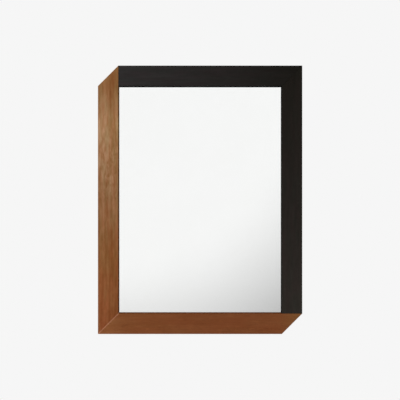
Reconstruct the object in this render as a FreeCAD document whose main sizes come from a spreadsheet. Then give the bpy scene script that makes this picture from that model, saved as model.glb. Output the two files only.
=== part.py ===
"""Wall mirror in a two-tone hardwood frame, with its rebate, joinery, glazing and hanging hardware.

The left stile and the bottom rail are parallelograms, so the outline loses two corners and the four
members read as a box in oblique view. Millimetres, +Z up, +X to the right as seen from the front,
wall on the +Y side. The origin lies on the wall plane, behind the middle of the frame.
"""
import FreeCAD, Part
import math
import os
import re
import Sketcher

# Driving dimensions
DIMENSIONS = {
    # Frame members
    "frame_width": 500.0,
    "frame_height": 657.0,
    "member_width": 50.0,
    "member_depth": 24.0,
    "edge_ease": 0.8,
    "rebate_width": 10.0,
    # Joinery
    "biscuit_length": 47.0,
    "biscuit_width": 15.0,
    "biscuit_thickness": 4.0,
    "biscuit_play": 0.5,
    "dowel_diameter": 6.0,
    "dowel_in_side": 14.0,
    "dowel_in_end": 16.0,
    "dowel_chamfer": 0.8,
    "dowel_play": 0.05,
    "dowel_end_gap": 0.5,
    "dowel_first": 10.0,
    "dowel_pitch": 14.0,
    # Glazing
    "glass_thickness": 4.0,
    "glass_gap": 2.0,
    "glass_arris": 0.6,
    "silver_thickness": 0.2,
    "card_thickness": 1.8,
    "panel_thickness": 6.0,
    "panel_gap": 1.0,
    "panel_chamfer": 0.6,
    "pad_length": 25.0,
    "pad_from_corner": 90.0,
    # Pan-head screws
    "screw_head": 7.0,
    "screw_head_height": 2.2,
    "screw_rim": 0.9,
    "screw_shank": 3.5,
    "screw_tip": 3.0,
    "button_screw_length": 14.0,
    "hanger_screw_length": 16.0,
    "pilot_play": 0.05,
    "pilot_end_gap": 0.5,
    # Turn buttons
    "button_width": 11.0,
    "button_centres": 17.0,
    "button_thickness": 1.5,
    "button_chamfer": 0.3,
    "button_lift": 0.1,
    "button_play": 0.05,
    "button_pivot": 8.0,
    "button_from_corner": 90.0,
    # Hangers
    "hanger_drop": 190.0,
    "strap_width": 12.0,
    "strap_thickness": 1.2,
    "strap_first_hole": 21.0,
    "strap_hole_pitch": 13.0,
    "strap_hole_play": 0.25,
    "strap_end_round": 5.0,
    "strap_ramp": 3.0,
    "eye_open": 65.0,
    "ring_wire": 2.5,
    "ring_width": 20.0,
    "ring_drop": 15.0,
    "ring_corner": 3.0,
    "ring_play": 0.08,
    "ring_lift": 0.35,
    # Wall bumpers
    "bumper_base": 14.0,
    "bumper_face": 11.0,
    "bumper_height": 6.0,
    "bumper_round": 0.8,
    "bumper_inset": 20.0,
}

# Places and sizes worked out from the driving dimensions
LAYOUT = {
    "outer_x": "frame_width / 2",
    "outer_z": "frame_height / 2",
    "sight_x": "outer_x - member_width",
    "sight_z": "outer_z - member_width",
    "rebate_x": "sight_x + rebate_width",
    "rebate_z": "sight_z + rebate_width",
    "land_width": "member_width - rebate_width",
    "rebate_depth": "glass_thickness + silver_thickness + card_thickness + panel_thickness",
    "lip_depth": "member_depth - rebate_depth",
    "front_depth": "bumper_height + member_depth",
    "joint_depth": "front_depth - lip_depth / 2",
    "glass_back": "bumper_height + rebate_depth - glass_thickness",
    "silver_back": "glass_back - silver_thickness",
    "lens_centre": "biscuit_length ^ 2 / (4 * biscuit_width) - biscuit_width / 4",
    "slot_length": "biscuit_length + 2 * biscuit_play",
    "slot_width": "biscuit_width + 2 * biscuit_play",
    "slot_centre": "slot_length ^ 2 / (4 * slot_width) - slot_width / 4",
    "dome_rise": "screw_head_height - screw_rim",
    "dome_radius": "(screw_head ^ 2 / 4 + dome_rise ^ 2) / (2 * dome_rise)",
    "button_seat": "button_lift + button_thickness + button_lift",
    "button_pilot": "button_screw_length - button_seat + pilot_end_gap",
    "hanger_pilot": "hanger_screw_length - strap_thickness + pilot_end_gap",
    "pilot_diameter": "screw_shank + 2 * pilot_play",
    "hanger_x": "rebate_x + land_width / 2",
    "hanger_z": "outer_z - hanger_drop",
    "eye_inner": "ring_wire / 2 + ring_play",
    "eye_outer": "eye_inner + strap_thickness",
    "eye_height": "strap_thickness + ring_wire / 2 + ring_lift",
    "strap_last_hole": "strap_first_hole + strap_hole_pitch",
    "strap_length": "strap_last_hole + strap_width / 2",
    "ring_side": "ring_width / 2",
    "ring_shoulder": "ring_side - ring_corner",
    "ring_centre": "ring_drop - ring_side",
    "bumper_x": "sight_x - bumper_inset",
    "bumper_z": "rebate_z + land_width / 2",
}

TOUCH = 1e-4

doc = FreeCAD.newDocument("WallMirror")


def linked(formula):
    """Returns formula with each named value replaced by the cell that holds it."""
    def cell(match):
        name = match.group()
        if name in DIMENSIONS:
            return "Dimensions." + name
        if name in LAYOUT:
            return "Layout." + name
        return name
    return re.sub(r"[a-z_]+", cell, formula)


def fill_sheet(name, rows):
    """Writes rows, a dictionary of alias and text, to a new spreadsheet."""
    sheet = doc.addObject("Spreadsheet::Sheet", name)
    for number, (alias, text) in enumerate(rows.items(), 1):
        sheet.set("A%d" % number, alias)
        sheet.set("B%d" % number, text)
        sheet.setAlias("B%d" % number, alias)
    doc.recompute()
    return sheet


fill_sheet("Dimensions", {alias: str(size) for alias, size in DIMENSIONS.items()})
layout = fill_sheet("Layout", {alias: "=" + linked(formula) for alias, formula in LAYOUT.items()})


def tie(item, setting, formula):
    """Binds a property of item to the sheets."""
    item.setExpression(setting, linked(formula))


def value_of(formula):
    """Returns what formula comes to now."""
    return float(layout.evalExpression(linked(formula)))


def minus(formula):
    """Returns the formula of the opposite value."""
    return "-(%s)" % formula


# Sketches
def sketch_on(body, name, plane, offset=("0", "0", "0"), turn=0.0):
    """Adds a sketch on an origin plane of body, moved by offset in the plane's own axes."""
    sketch = body.newObject("Sketcher::SketchObject", body.Name + "_" + name)
    support = [feature for feature in body.Origin.OriginFeatures if feature.Role == plane]
    sketch.AttachmentSupport = (support[0], [""])
    sketch.MapMode = "FlatFace"
    rotation = FreeCAD.Rotation(FreeCAD.Vector(0, 0, 1), turn)
    sketch.AttachmentOffset = FreeCAD.Placement(FreeCAD.Vector(), rotation)
    for axis, formula in zip("xyz", offset):
        tie(sketch, "AttachmentOffset.Base." + axis, formula)
    return sketch


def pin(sketch, geometry, position, spot, axes="XY"):
    """Ties a point of the sketch to a spot, a pair of formulas, along the named axes."""
    for axis, formula in zip("XY", spot):
        if axis not in axes:
            continue
        if formula == "0":
            zero_line = -2 if axis == "X" else -1
            sketch.addConstraint(Sketcher.Constraint("PointOnObject", geometry, position, zero_line))
            continue
        distance = Sketcher.Constraint("Distance" + axis, -1, 1, geometry, position, value_of(formula))
        number = sketch.addConstraint(distance)
        tie(sketch, "Constraints[%d]" % number, formula)


def contour(sketch, corners, arcs=None):
    """Closes an outline through corners, each a pair of formulas.

    arcs maps a side's number to its centre, a pair of formulas, and to whether it turns left.
    """
    arcs = arcs or {}
    points = [FreeCAD.Vector(value_of(x), value_of(y), 0) for x, y in corners]
    starts = []
    ends = []
    for side, start in enumerate(points):
        finish = points[(side + 1) % len(points)]
        if side not in arcs:
            sketch.addGeometry(Part.LineSegment(start, finish))
            starts.append(1)
            ends.append(2)
            continue
        spot, turns_left = arcs[side]
        centre = FreeCAD.Vector(value_of(spot[0]), value_of(spot[1]), 0)
        whole = Part.Circle(centre, FreeCAD.Vector(0, 0, 1), (start - centre).Length)
        bounds = [start, finish] if turns_left else [finish, start]
        angles = [math.atan2(point.y - centre.y, point.x - centre.x) for point in bounds]
        sketch.addGeometry(Part.ArcOfCircle(whole, angles[0], angles[1]))
        starts.append(1 if turns_left else 2)
        ends.append(2 if turns_left else 1)
    for side, corner in enumerate(corners):
        following = (side + 1) % len(corners)
        sketch.addConstraint(
            Sketcher.Constraint("Coincident", side, ends[side], following, starts[following]))
        pin(sketch, side, starts[side], corner)
        if side in arcs:
            chord = points[following] - points[side]
            free_axis = "Y" if abs(chord.x) > abs(chord.y) else "X"
            pin(sketch, side, 3, arcs[side][0], free_axis)


def circle(sketch, spot, diameter):
    """Adds a circle about spot, a pair of formulas."""
    centre = FreeCAD.Vector(value_of(spot[0]), value_of(spot[1]), 0)
    across = value_of(diameter)
    number = sketch.addGeometry(Part.Circle(centre, FreeCAD.Vector(0, 0, 1), across / 2))
    pin(sketch, number, 3, spot)
    size = sketch.addConstraint(Sketcher.Constraint("Diameter", number, across))
    tie(sketch, "Constraints[%d]" % size, diameter)


def rectangle(half_x, half_z):
    """Returns the corners of a rectangle about the origin."""
    return [(minus(half_x), minus(half_z)), (half_x, minus(half_z)),
            (half_x, half_z), (minus(half_x), half_z)]


# Features
def new_body(label):
    """Adds a body under its node name."""
    return doc.addObject("PartDesign::Body", label)


def pad(body, sketch, name, length, against_normal=False, both_ways=False):
    """Pads sketch along its normal, against it, or to both sides."""
    feature = body.newObject("PartDesign::Pad", body.Name + "_" + name)
    feature.Profile = sketch
    feature.SideType = "Symmetric" if both_ways else "One side"
    feature.Reversed = against_normal
    tie(feature, "Length", length)
    doc.recompute()


def pocket(body, sketch, name, depth, along_normal=False, both_ways=False):
    """Pockets sketch against its normal, along it, or to both sides."""
    feature = body.newObject("PartDesign::Pocket", body.Name + "_" + name)
    feature.Profile = sketch
    feature.SideType = "Symmetric" if both_ways else "One side"
    feature.Reversed = along_normal
    tie(feature, "Length", depth)
    doc.recompute()


def revolve(body, sketch, name):
    """Turns sketch about its own vertical axis."""
    feature = body.newObject("PartDesign::Revolution", body.Name + "_" + name)
    feature.Profile = sketch
    feature.ReferenceAxis = (sketch, ["V_Axis"])
    feature.Angle = 360
    doc.recompute()


def break_edges(body, kind, name, size, wanted):
    """Rounds or chamfers the edges of body for which wanted is true."""
    base = body.Tip
    edges = ["Edge%d" % number for number, edge in enumerate(base.Shape.Edges, 1) if wanted(edge)]
    feature = body.newObject("PartDesign::" + kind, body.Name + "_" + name)
    feature.Base = (base, edges)
    tie(feature, "Radius" if kind == "Fillet" else "Size", size)
    doc.recompute()


def place(item, where, turn=0.0):
    """Puts item at where, three formulas, turned about the depth axis."""
    item.Placement = FreeCAD.Placement(FreeCAD.Vector(), FreeCAD.Rotation(FreeCAD.Vector(0, 1, 0), turn))
    for axis, formula in zip("xyz", where):
        tie(item, "Placement.Base." + axis, formula)


def group(label, members):
    """Keeps several solids in one node."""
    compound = doc.addObject("Part::Compound", label)
    compound.Links = members
    return compound


def is_flat_at(edge, height, axis):
    """Tells whether every end of edge lies at height on axis."""
    return all(abs(getattr(vertex.Point, axis) - height) < TOUCH for vertex in edge.Vertexes)


# Frame members
def frame_member(label, corners):
    """Pads a member from its front outline and cuts its stretch of the rebate from the back."""
    body = new_body(label)
    outline = sketch_on(body, "outline", "XZ_Plane", ("0", "0", "bumper_height"))
    contour(outline, corners)
    pad(body, outline, "stock", "member_depth")
    recess = sketch_on(body, "rebate_outline", "XZ_Plane", ("0", "0", "bumper_height"))
    contour(recess, rectangle("rebate_x", "rebate_z"))
    pocket(body, recess, "rebate", "rebate_depth", along_normal=True)
    return body


def lens(sketch, length, width, centre):
    """Draws a biscuit's outline, two equal arcs that meet in its tips."""
    tips = [("-%s / 2" % length, "0"), (length + " / 2", "0")]
    contour(sketch, tips, {0: (("0", centre), True), 1: (("0", minus(centre)), True)})


def mitre_sketch(body, name, side):
    """Adds a sketch at mid-lip depth, centred on the mitre and turned along it."""
    half_face = "member_width / 2"
    where = ("%d * (outer_x - %s)" % (side, half_face), "%d * (outer_z - %s)" % (side, half_face))
    return sketch_on(body, name, "XZ_Plane", where + ("joint_depth",), turn=45.0)


def cut_biscuit_slot(body, side):
    """Cuts one half of a biscuit slot into a mitred end."""
    sketch = mitre_sketch(body, "slot_outline", side)
    lens(sketch, "slot_length", "slot_width", "slot_centre")
    pocket(body, sketch, "slot", "biscuit_thickness", both_ways=True)


def biscuit(label, side):
    """Makes the biscuit of one mitre."""
    body = new_body(label)
    sketch = mitre_sketch(body, "outline", side)
    lens(sketch, "biscuit_length", "biscuit_width", "lens_centre")
    pad(body, sketch, "beech", "biscuit_thickness", both_ways=True)
    return body


def dowel_places(plane):
    """Returns the dowels' places on the plane of their joint."""
    starts = ["dowel_first", "dowel_first + dowel_pitch"]
    if plane == "YZ_Plane":
        return [("-joint_depth", "sight_z + " + start) for start in starts]
    return [("sight_x + " + start, "-joint_depth") for start in starts]


def joint_face(plane):
    """Returns how far the joint's plane lies along its normal."""
    return "-sight_x" if plane == "YZ_Plane" else "-sight_z"


def drill_dowel_holes(body, plane, into_end):
    """Drills the dowels' holes into a square end, along the plane's normal, or into a long edge."""
    sketch = sketch_on(body, "dowel_marks", plane, ("0", "0", joint_face(plane)))
    for spot in dowel_places(plane):
        circle(sketch, spot, "dowel_diameter + 2 * dowel_play")
    reach = "dowel_in_end" if into_end else "dowel_in_side"
    pocket(body, sketch, "dowel_holes", reach + " + dowel_end_gap", along_normal=into_end)


def dowels(label, plane):
    """Makes the two dowels of one square joint, with chamfered ends."""
    body = new_body(label)
    sketch = sketch_on(body, "marks", plane, ("0", "0", joint_face(plane) + " - dowel_in_side"))
    for spot in dowel_places(plane):
        circle(sketch, spot, "dowel_diameter")
    pad(body, sketch, "beech", "dowel_in_side + dowel_in_end")
    break_edges(body, "Chamfer", "ends", "dowel_chamfer", lambda edge: edge.isClosed())
    return body


def drill_pilots(body, name, spots, depth):
    """Drills pilot holes into a member from its back."""
    sketch = sketch_on(body, name + "_marks", "XZ_Plane", ("0", "0", "bumper_height"))
    for spot in spots:
        circle(sketch, spot, "pilot_diameter")
    pocket(body, sketch, name, depth, along_normal=True)


def ease_edges(body, corners, bare_sides):
    """Rounds the whole front outline of a member and the back of its bare sides."""
    middles = []
    for side, (x, z) in enumerate(corners):
        next_x, next_z = corners[(side + 1) % len(corners)]
        middle_x = (value_of(x) + value_of(next_x)) / 2
        middle_z = (value_of(z) + value_of(next_z)) / 2
        middles.append(Part.Vertex(middle_x, -value_of("front_depth"), middle_z))
        if side in bare_sides:
            middles.append(Part.Vertex(middle_x, -value_of("bumper_height"), middle_z))
    break_edges(body, "Fillet", "eased_edges", "edge_ease",
                lambda edge: any(edge.distToShape(middle)[0] < TOUCH for middle in middles))


# Where the turn buttons and the hanger screws go
def button_spots(along, across, across_sign):
    """Returns two pivots on one side of the frame, on its land outside the rebate."""
    far = "%d * (%s + button_pivot)" % (across_sign, across)
    near = "%s - button_from_corner" % along
    return [(minus(near), far), (near, far)]


def flipped(spots):
    """Swaps the two coordinates of each spot."""
    return [(second, first) for first, second in spots]


BUTTONS = {
    "left": (flipped(button_spots("rebate_z", "rebate_x", -1)), 0.0),
    "right": (flipped(button_spots("rebate_z", "rebate_x", 1)), 180.0),
    "top": (button_spots("rebate_x", "rebate_z", 1), 90.0),
    "bottom": (button_spots("rebate_x", "rebate_z", -1), -90.0),
}
HANGERS = {"left": "-hanger_x", "right": "hanger_x"}
STRAP_HOLES = ["strap_first_hole", "strap_last_hole"]


def hanger_spots(side):
    """Returns the screw places of one hanger."""
    return [(HANGERS[side], "hanger_z - " + hole) for hole in STRAP_HOLES]


def build_frame():
    """Makes the four members, their biscuits and their dowels."""
    bottom_left = ("-outer_x", "-outer_z")
    top_right = ("outer_x", "outer_z")
    sight = {(x, z): ("%d * sight_x" % x, "%d * sight_z" % z) for x in (-1, 1) for z in (-1, 1)}
    left_corners = [bottom_left, sight[-1, -1], ("-sight_x", "outer_z"), ("-outer_x", "sight_z")]
    bottom_corners = [bottom_left, ("sight_x", "-outer_z"), ("outer_x", "-sight_z"), sight[-1, -1]]
    top_corners = [sight[-1, 1], sight[1, 1], top_right, ("-sight_x", "outer_z")]
    right_corners = [sight[1, -1], ("outer_x", "-sight_z"), top_right, sight[1, 1]]

    left = frame_member("left_stile", left_corners)
    cut_biscuit_slot(left, -1)
    drill_dowel_holes(left, "YZ_Plane", into_end=False)
    drill_pilots(left, "button_pilots", BUTTONS["left"][0], "button_pilot")
    drill_pilots(left, "hanger_pilots", hanger_spots("left"), "hanger_pilot")
    ease_edges(left, left_corners, bare_sides=(2, 3))

    bottom = frame_member("bottom_rail", bottom_corners)
    cut_biscuit_slot(bottom, -1)
    drill_dowel_holes(bottom, "XY_Plane", into_end=False)
    drill_pilots(bottom, "button_pilots", BUTTONS["bottom"][0], "button_pilot")
    ease_edges(bottom, bottom_corners, bare_sides=(0, 1))

    top = frame_member("top_rail", top_corners)
    cut_biscuit_slot(top, 1)
    drill_dowel_holes(top, "YZ_Plane", into_end=True)
    drill_pilots(top, "button_pilots", BUTTONS["top"][0], "button_pilot")
    ease_edges(top, top_corners, bare_sides=(2,))

    right = frame_member("right_stile", right_corners)
    cut_biscuit_slot(right, 1)
    drill_dowel_holes(right, "XY_Plane", into_end=True)
    drill_pilots(right, "button_pilots", BUTTONS["right"][0], "button_pilot")
    drill_pilots(right, "hanger_pilots", hanger_spots("right"), "hanger_pilot")
    ease_edges(right, right_corners, bare_sides=(1,))

    return [left, bottom, top, right,
            biscuit("bottom_left_biscuit", -1), biscuit("top_right_biscuit", 1),
            dowels("top_left_dowels", "YZ_Plane"), dowels("bottom_right_dowels", "XY_Plane")]


# Glazing
def sheet_body(label, half_x, half_z, back, thickness):
    """Makes a flat sheet in the rebate, its back at a depth behind the wall plane."""
    body = new_body(label)
    sketch = sketch_on(body, "outline", "XZ_Plane", ("0", "0", back))
    contour(sketch, rectangle(half_x, half_z))
    pad(body, sketch, "sheet", thickness)
    return body


def edge_pad(number, corner, length, height):
    """Makes one pad between the pane's edge and the rebate, from its lowest corner."""
    block = doc.addObject("Part::Box", "edge_pad_%d" % number)
    tie(block, "Length", length)
    tie(block, "Width", "glass_thickness")
    tie(block, "Height", height)
    place(block, (corner[0], "-glass_back - glass_thickness", corner[1]))
    return block


def build_glazing():
    """Makes the pane, its coat, its pads, the packing card and the back panel."""
    glass_x = "rebate_x - glass_gap"
    glass_z = "rebate_z - glass_gap"
    glass = sheet_body("mirror_glass", glass_x, glass_z, "glass_back", "glass_thickness")
    glass_faces = (-value_of("glass_back"), -value_of("glass_back + glass_thickness"))
    break_edges(glass, "Chamfer", "arris", "glass_arris",
                lambda edge: any(is_flat_at(edge, face, "y") for face in glass_faces))
    silver = sheet_body("mirror_silvering", glass_x + " - glass_arris", glass_z + " - glass_arris",
                        "silver_back", "silver_thickness")
    card = sheet_body("packing_card", "rebate_x - panel_gap", "rebate_z - panel_gap",
                      "bumper_height + panel_thickness", "card_thickness")
    panel = sheet_body("back_panel", "rebate_x - panel_gap", "rebate_z - panel_gap",
                       "bumper_height", "panel_thickness")
    break_edges(panel, "Chamfer", "back_edges", "panel_chamfer",
                lambda edge: is_flat_at(edge, -value_of("bumper_height"), "y"))
    pad_start = "rebate_x - pad_from_corner - pad_length"
    side_start = "rebate_z - pad_from_corner - pad_length"
    low_pads = [(minus("rebate_x - pad_from_corner"), "-rebate_z"), (pad_start, "-rebate_z")]
    side_pads = [("-rebate_x", side_start), ("rebate_x - glass_gap", side_start)]
    pads = [edge_pad(number, corner, "pad_length", "glass_gap") for number, corner in enumerate(low_pads)]
    for corner in side_pads:
        pads.append(edge_pad(len(pads), corner, "glass_gap", "pad_length"))
    return [glass, silver, card, panel, group("glass_edge_pads", pads)]


# Screws
def pan_screw(name, length, where):
    """Makes a pan-head screw whose head seats at where, with its point towards the front."""
    body = new_body(name)
    sketch = sketch_on(body, "profile", "XY_Plane")
    shank = "screw_shank / 2"
    rim = "screw_head / 2"
    corners = [("0", minus(length)), (shank, "screw_tip - " + length), (shank, "0"),
               (rim, "0"), (rim, "screw_rim"), ("0", "screw_head_height")]
    contour(sketch, corners, {4: (("0", "screw_head_height - dome_radius"), True)})
    revolve(body, sketch, "turned")
    place(body, where)
    return body


# Turn buttons
def turn_button(label, spot, turn):
    """Makes a button that lies from its pivot towards the panel."""
    body = new_body(label)
    sketch = sketch_on(body, "outline", "XZ_Plane")
    half = "button_width / 2"
    corners = [("0", minus(half)), ("button_centres", minus(half)), ("button_centres", half), ("0", half)]
    contour(sketch, corners, {1: (("button_centres", "0"), True), 3: (("0", "0"), True)})
    pad(body, sketch, "blank", "button_thickness", against_normal=True)
    break_edges(body, "Chamfer", "edge", "button_chamfer",
                lambda edge: is_flat_at(edge, value_of("button_thickness"), "y"))
    hole = sketch_on(body, "hole_mark", "XZ_Plane")
    circle(hole, ("0", "0"), "screw_shank + 2 * button_play")
    pocket(body, hole, "hole", "button_thickness")
    place(body, (spot[0], "button_lift - bumper_height", spot[1]), turn)
    return body


def build_buttons():
    """Makes the eight turn buttons and the group of their screws."""
    buttons = []
    screws = []
    ends = {"left": ("lower", "upper"), "right": ("lower", "upper"),
            "top": ("left", "right"), "bottom": ("left", "right")}
    for side, (spots, turn) in BUTTONS.items():
        for end, spot in zip(ends[side], spots):
            buttons.append(turn_button("turn_button_%s_%s" % (side, end), spot, turn))
            seat = (spot[0], "button_seat - bumper_height", spot[1])
            screws.append(pan_screw("button_screw_%s_%s" % (side, end), "button_screw_length", seat))
    return buttons + [group("turn_button_screws", screws)]


# Hangers
def hanger_strap(side):
    """Makes a strap with a rolled eye, drilled for its screws; its own origin is the eye's axis."""
    body = new_body("hanger_strap_" + side)
    sketch = sketch_on(body, "profile", "YZ_Plane")
    face = "strap_thickness - eye_height"
    tip_y = "-cos(eye_open)"
    tip_z = "-sin(eye_open)"
    corners = [("-eye_outer", "0"), ("-eye_height", "-strap_ramp"), ("-eye_height", "-strap_length"),
               (face, "-strap_length"), (face, "-strap_ramp"), ("-eye_inner", "0"),
               (tip_y + " * eye_inner", tip_z + " * eye_inner"),
               (tip_y + " * eye_outer", tip_z + " * eye_outer")]
    contour(sketch, corners, {5: (("0", "0"), False), 7: (("0", "0"), True)})
    pad(body, sketch, "rolled_strip", "strap_width", both_ways=True)
    break_edges(body, "Fillet", "end", "strap_end_round",
                lambda edge: is_flat_at(edge, -value_of("strap_length"), "z")
                and abs(edge.tangentAt(edge.FirstParameter).y) > 1 - TOUCH)
    marks = sketch_on(body, "hole_marks", "XZ_Plane", ("0", "0", "eye_height"))
    for hole in STRAP_HOLES:
        circle(marks, ("0", minus(hole)), "screw_shank + 2 * strap_hole_play")
    pocket(body, marks, "holes", "strap_thickness")
    place(body, (HANGERS[side], "eye_height - bumper_height", "hanger_z"))
    return body


def hanger_ring(side):
    """Bends a closed D of round wire whose straight bar lies in the eye."""
    body = new_body("hanger_ring_" + side)
    path = sketch_on(body, "path", "XZ_Plane")
    corners = [("0", "0"), ("ring_shoulder", "0"), ("ring_side", "-ring_corner"),
               ("ring_side", "-ring_centre"), ("0", "-ring_drop"), ("-ring_side", "-ring_centre"),
               ("-ring_side", "-ring_corner"), ("-ring_shoulder", "0")]
    bow = ("0", "-ring_centre")
    shoulders = [("ring_shoulder", "-ring_corner"), ("-ring_shoulder", "-ring_corner")]
    centres = {1: shoulders[0], 3: bow, 4: bow, 6: shoulders[1]}
    contour(path, corners, {side: (centre, False) for side, centre in centres.items()})
    section = sketch_on(body, "section", "YZ_Plane")
    circle(section, ("0", "0"), "ring_wire")
    wire = body.newObject("PartDesign::AdditivePipe", body.Name + "_wire")
    wire.Profile = section
    wire.Spine = path
    doc.recompute()
    place(body, (HANGERS[side], "eye_height - bumper_height", "hanger_z"))
    return body


def build_hangers():
    """Makes both hangers and the group of their screws."""
    pieces = []
    screws = []
    for side in HANGERS:
        pieces.append(hanger_strap(side))
        pieces.append(hanger_ring(side))
        for name, (x, z) in zip(("upper", "lower"), hanger_spots(side)):
            seat = (x, "strap_thickness - bumper_height", z)
            screws.append(pan_screw("hanger_screw_%s_%s" % (side, name), "hanger_screw_length", seat))
    return pieces + [group("hanger_screws", screws)]


# Wall bumpers
def bumper(number, x, z):
    """Turns one tapered rubber bumper, from the frame's back to the wall plane."""
    body = new_body("bumper_%d" % number)
    sketch = sketch_on(body, "profile", "XY_Plane")
    corners = [("0", "0"), ("bumper_base / 2", "0"), ("bumper_face / 2", "bumper_height"),
               ("0", "bumper_height")]
    contour(sketch, corners)
    revolve(body, sketch, "moulded")
    break_edges(body, "Fillet", "face_edge", "bumper_round",
                lambda edge: edge.isClosed() and is_flat_at(edge, value_of("bumper_height"), "y"))
    place(body, (x, "-bumper_height", z))
    return body


def build_bumpers():
    """Makes the four bumpers as one group."""
    spots = [(x, z) for x in ("-bumper_x", "bumper_x") for z in ("-bumper_z", "bumper_z")]
    return [group("wall_bumpers", [bumper(number, x, z) for number, (x, z) in enumerate(spots)])]


def check_document(pieces):
    """Stops if anything failed to build or a cut took nothing away."""
    for item in doc.Objects:
        if "Invalid" in item.State or "Error" in item.State:
            raise RuntimeError("%s failed: %s" % (item.Name, item.State))
        if item.isDerivedFrom("PartDesign::Pocket"):
            removed = item.BaseFeature.Shape.Volume - item.Shape.Volume
            if removed < TOUCH:
                raise RuntimeError("%s cuts nothing" % item.Name)
    for piece in pieces:
        if piece.Shape.isNull() or not piece.Shape.isValid() or not piece.Shape.Solids:
            raise RuntimeError("%s has no sound solid" % piece.Label)


def export(pieces):
    """Writes every piece to a file under its node name."""
    os.makedirs("parts", exist_ok=True)
    for piece in pieces:
        piece.Shape.exportStep(os.path.join("parts", piece.Label + ".step"))
        print("%-28s %2d solids %12.1f mm3" % (piece.Label, len(piece.Shape.Solids), piece.Shape.Volume))


all_pieces = build_frame() + build_glazing() + build_buttons() + build_hangers() + build_bumpers()
doc.recompute()
check_document(all_pieces)
export(all_pieces)
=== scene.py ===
"""Looks of the two-tone wall mirror: its finishes, screws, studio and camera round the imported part."""

import logging
import math
from dataclasses import dataclass, fields
from enum import Enum
from functools import cache

import bmesh
import bpy
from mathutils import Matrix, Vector


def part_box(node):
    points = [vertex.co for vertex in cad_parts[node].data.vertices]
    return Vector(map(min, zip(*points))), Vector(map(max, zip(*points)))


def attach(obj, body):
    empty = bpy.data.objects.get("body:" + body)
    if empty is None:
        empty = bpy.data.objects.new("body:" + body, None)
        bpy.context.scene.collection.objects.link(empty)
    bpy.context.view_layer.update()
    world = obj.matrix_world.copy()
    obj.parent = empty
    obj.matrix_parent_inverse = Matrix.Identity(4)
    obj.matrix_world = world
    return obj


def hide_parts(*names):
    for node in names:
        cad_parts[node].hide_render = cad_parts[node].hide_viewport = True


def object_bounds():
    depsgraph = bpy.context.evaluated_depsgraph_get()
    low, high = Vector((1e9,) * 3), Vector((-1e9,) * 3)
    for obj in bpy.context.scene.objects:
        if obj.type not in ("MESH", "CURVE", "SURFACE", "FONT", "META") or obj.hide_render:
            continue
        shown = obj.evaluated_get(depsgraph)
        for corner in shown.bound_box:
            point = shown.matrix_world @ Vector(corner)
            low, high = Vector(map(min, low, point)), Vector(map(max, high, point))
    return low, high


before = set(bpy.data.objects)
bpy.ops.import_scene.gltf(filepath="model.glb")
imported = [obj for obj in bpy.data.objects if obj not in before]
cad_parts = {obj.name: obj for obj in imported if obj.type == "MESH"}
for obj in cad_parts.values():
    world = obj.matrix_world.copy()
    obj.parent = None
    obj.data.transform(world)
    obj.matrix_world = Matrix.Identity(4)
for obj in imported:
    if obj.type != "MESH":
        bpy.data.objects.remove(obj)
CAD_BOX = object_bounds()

log = logging.getLogger("wall_mirror")

ROOT_BODY = "frame"
MERGE_DISTANCE = 0.00001
NODES_PER_ROW = 10
NODE_STEP = (230, -320)

Pair = tuple[float, float]
Triple = tuple[float, float, float]
Colour = tuple[float, float, float, float]
Material = bpy.types.Material
SceneObject = bpy.types.Object
Tree = bpy.types.NodeTree
Socket = bpy.types.NodeSocket
Sockets = bpy.types.bpy_prop_collection
Source = Socket | float | Triple | Colour

UNCHANGED: Colour = (1.0, 1.0, 1.0, 1.0)


def srgb(*levels: int) -> Colour:
    """Turns an 8-bit screen colour into the linear one that shaders take.

    Args:
        *levels: Red, green and blue, from 0 to 255.

    Returns:
        The linear colour with full opacity.
    """
    shares = [level / 255 for level in levels]
    linear = [share / 12.92 if share <= 0.04045 else ((share + 0.055) / 1.055) ** 2.4 for share in shares]
    return *linear, 1.0


class Kind(Enum):
    """What a group's socket carries."""

    VALUE = "NodeSocketFloat"
    VECTOR = "NodeSocketVector"
    GEOMETRY = "NodeSocketGeometry"
    MATERIAL = "NodeSocketMaterial"


class Grain(Enum):
    """Which way a board's fibres run, as the turn that brings them to Z."""

    UPRIGHT = (0.0, 0.0, 0.0)
    LEVEL = (0.0, math.radians(90), 0.0)


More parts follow.
